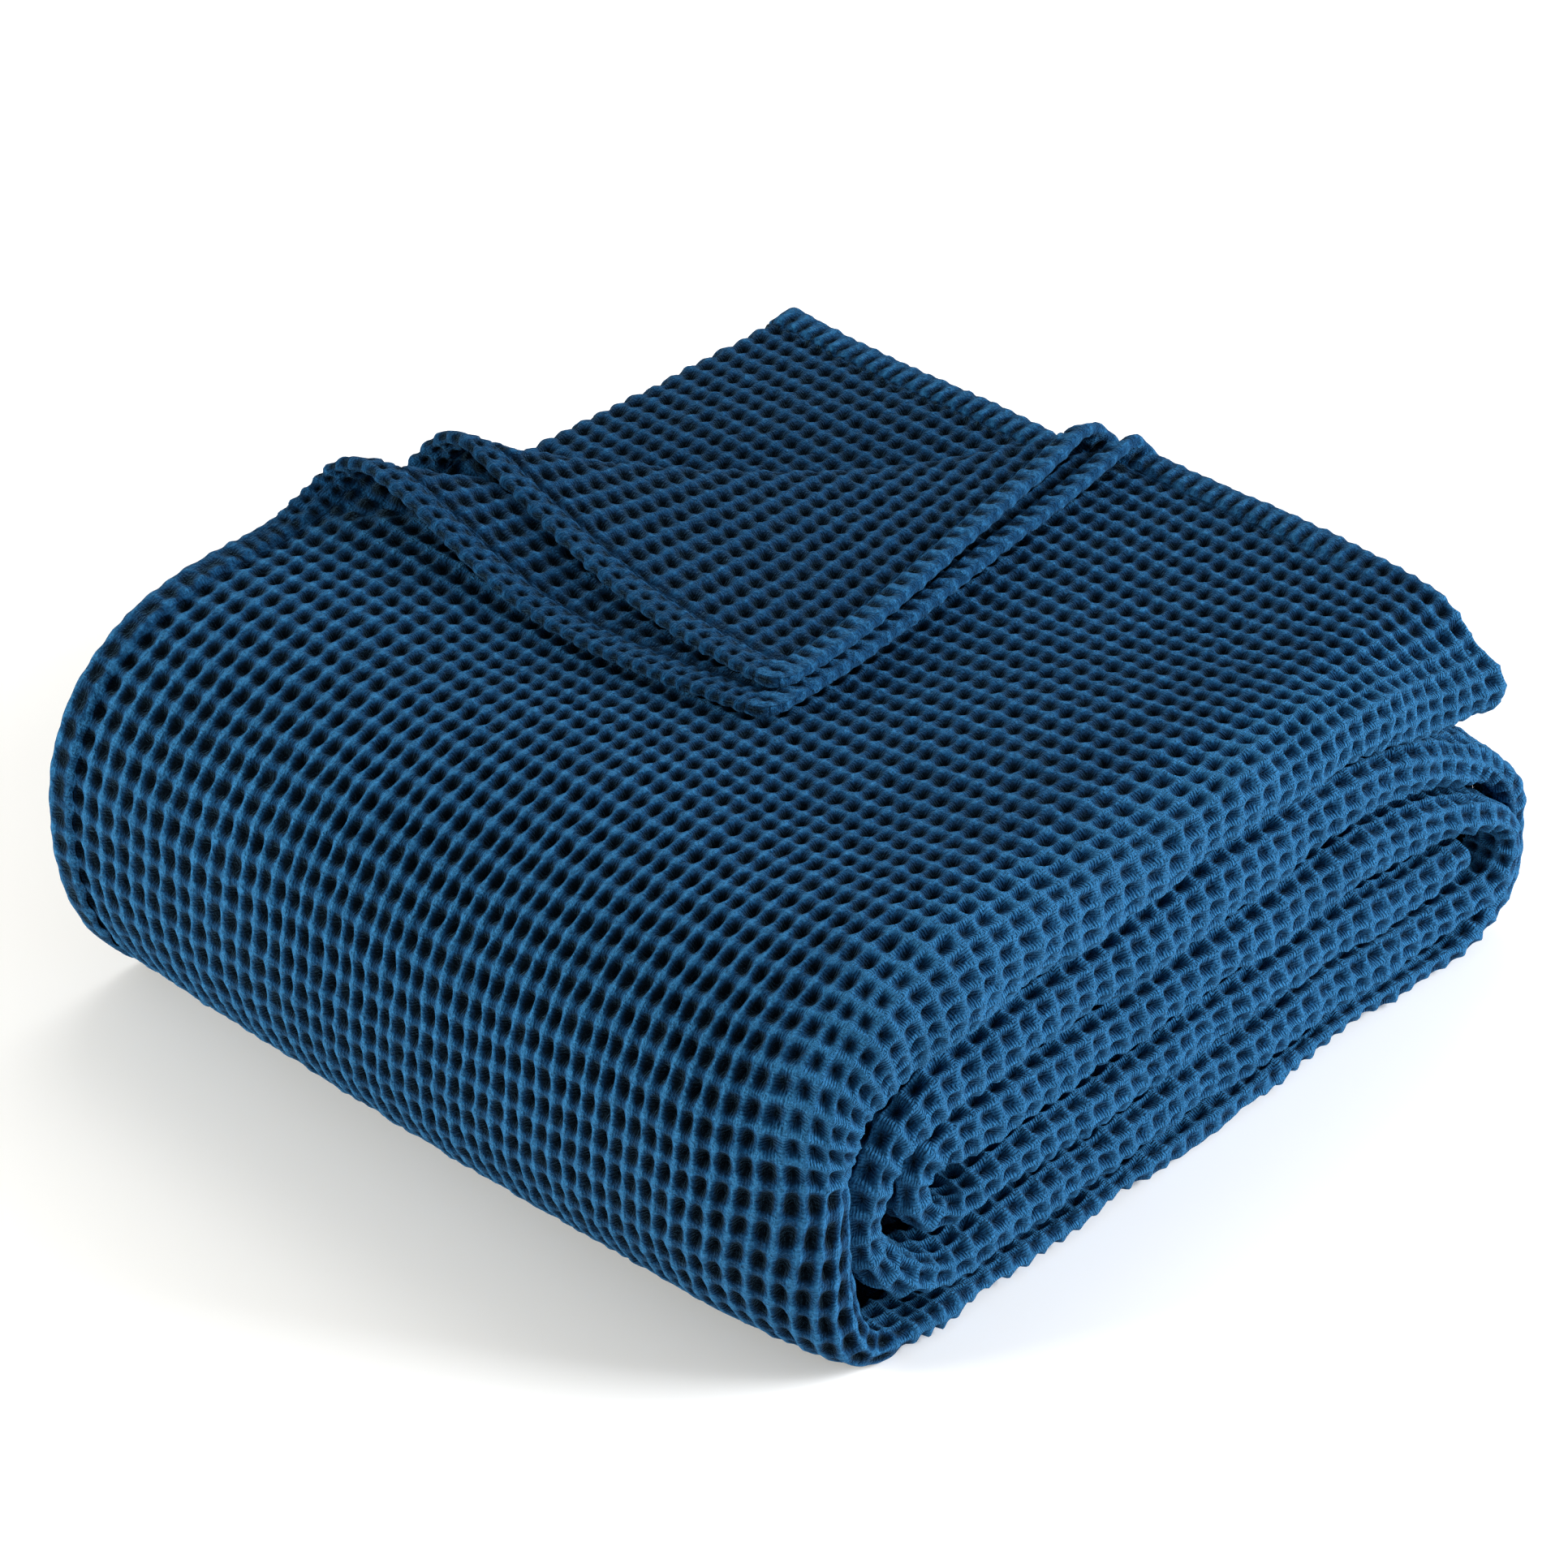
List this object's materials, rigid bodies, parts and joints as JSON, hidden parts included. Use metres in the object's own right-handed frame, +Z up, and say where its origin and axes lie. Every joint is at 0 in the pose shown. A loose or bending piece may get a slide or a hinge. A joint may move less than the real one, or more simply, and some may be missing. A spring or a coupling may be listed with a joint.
{
  "type": "waffle weave throw blanket",
  "caption": "Waffle weave cotton throw blanket, folded lengthwise, rolled flat into a neat bundle, with the top corner of its upper layers turned back.",
  "frame": {"origin": "On the floor under the middle of the folded bundle's bounding box.", "axes": "+Z is up, through the stack of folded lengths, the shortest extent. +X runs along the lengths, from the closed outer fold (-X) to the hem of the top length (+X). +Y runs across them, from the folded front edge (-Y) to the hems at the back (+Y)."},
  "size_m": [0.416, 0.3661, 0.1784],
  "materials": {
    "cotton": "matte waffle weave, blue"
  },
  "bodies": {
    "root": {"blanket": "cotton"}
  },
  "joints": []
}
